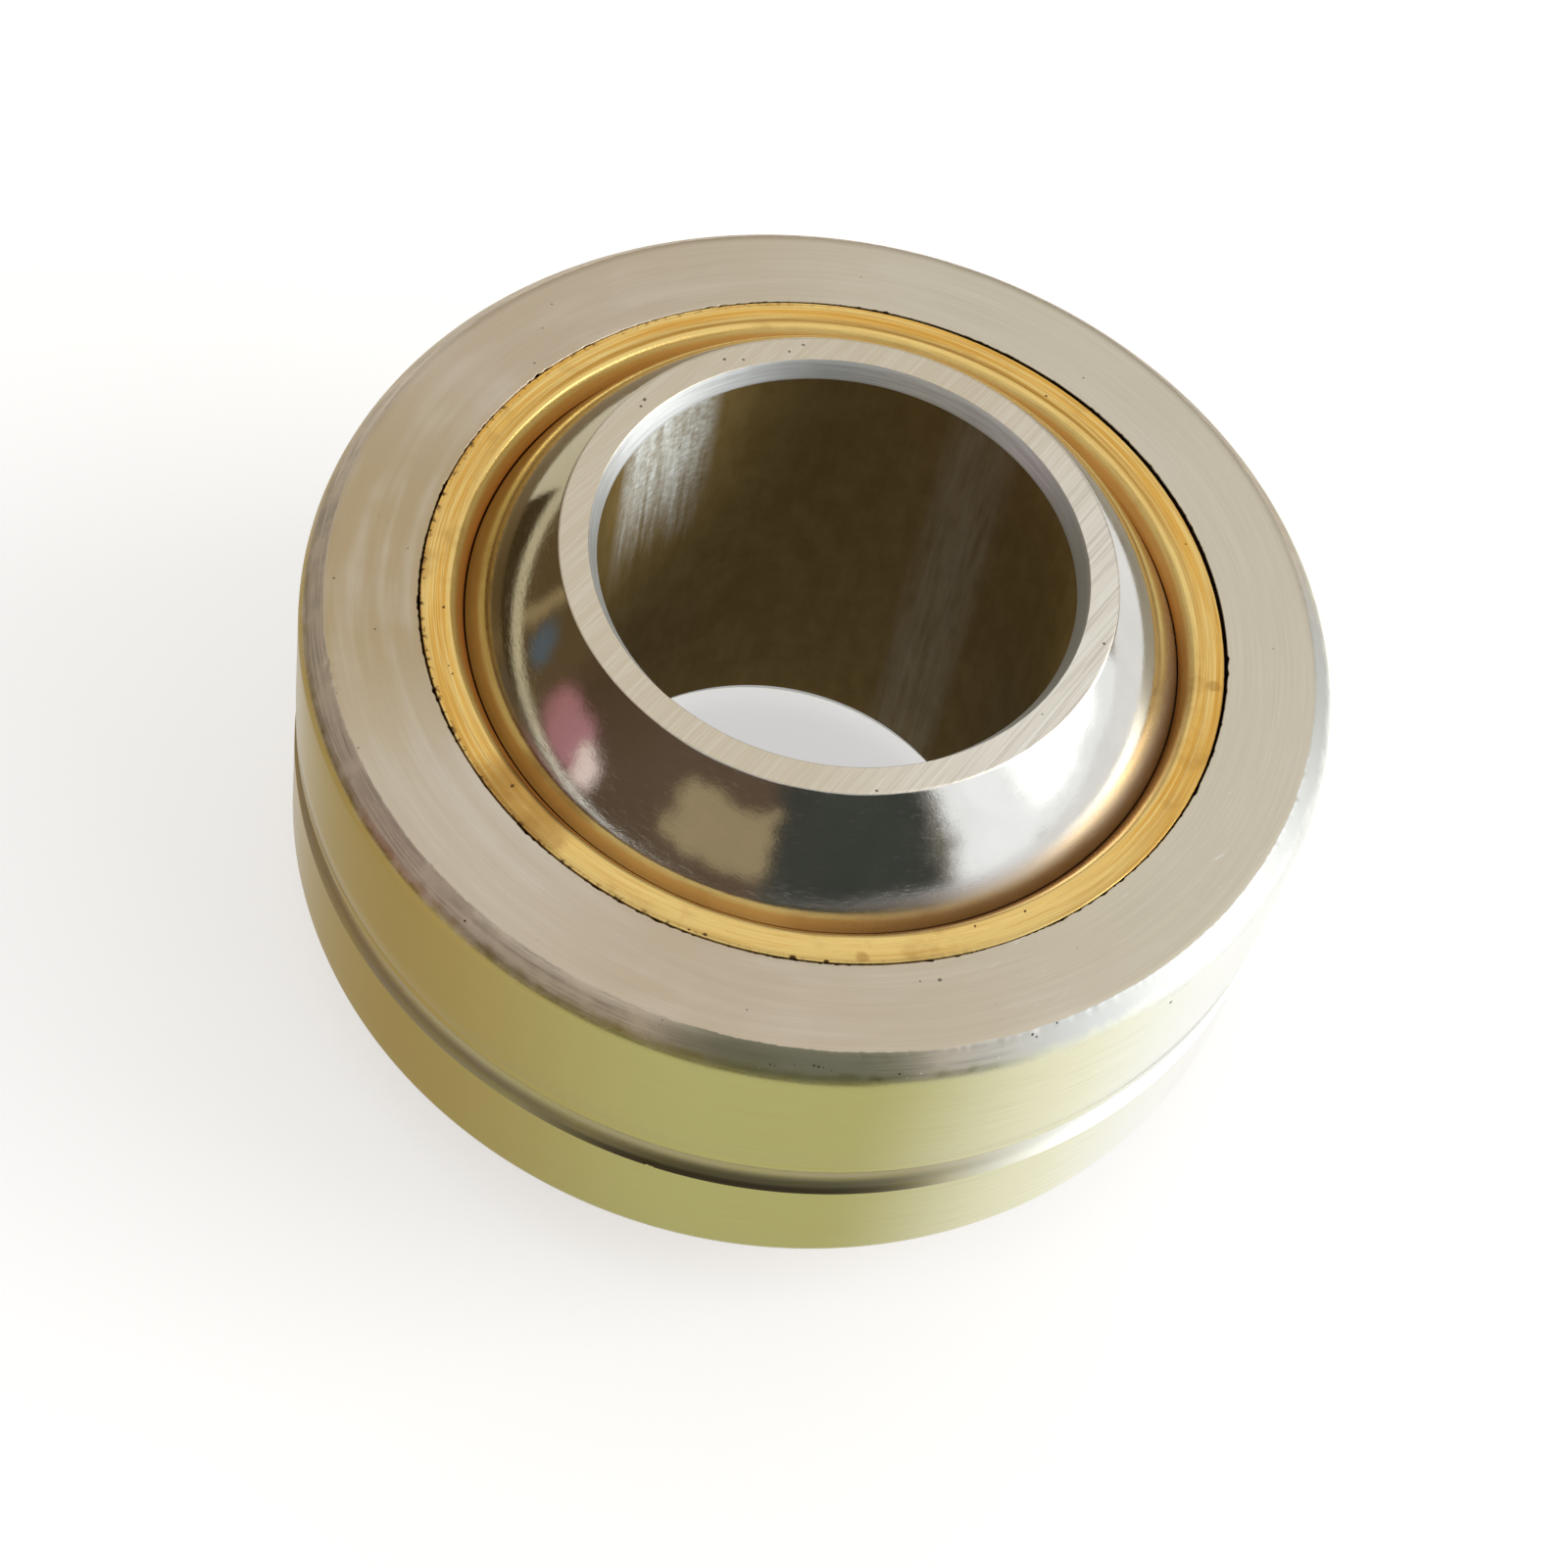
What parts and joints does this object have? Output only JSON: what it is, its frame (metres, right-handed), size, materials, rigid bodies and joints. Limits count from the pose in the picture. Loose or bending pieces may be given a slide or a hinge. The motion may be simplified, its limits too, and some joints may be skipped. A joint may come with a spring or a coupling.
{
  "type": "spherical plain bearing",
  "caption": "Spherical plain bearing: a steel outer ring with an oil groove, a brass race liner held in it, and a ball-shaped inner ring that swivels in the liner.",
  "frame": {"origin": "centre of the ball, halfway along the bore", "axes": "+Z along the bore axis, +Y towards the oil hole"},
  "size_m": [0.066, 0.066, 0.037],
  "materials": {
    "turned_steel": "fine turned sides, ground outside",
    "brass": "turned, lightly tarnished",
    "polished_steel": "ball polished to a mirror, end faces ground, bore honed"
  },
  "bodies": {
    "outer": {"outer_ring": "turned_steel", "race_liner": "brass"},
    "inner": {"inner_ring": "polished_steel"}
  },
  "joints": [
    {"name": "swivel", "type": "hinge", "parent": "outer", "child": "inner", "pos_m": [0, 0, 0], "axis": [1, 0, 0], "range_deg": [-17, 17]}
  ]
}
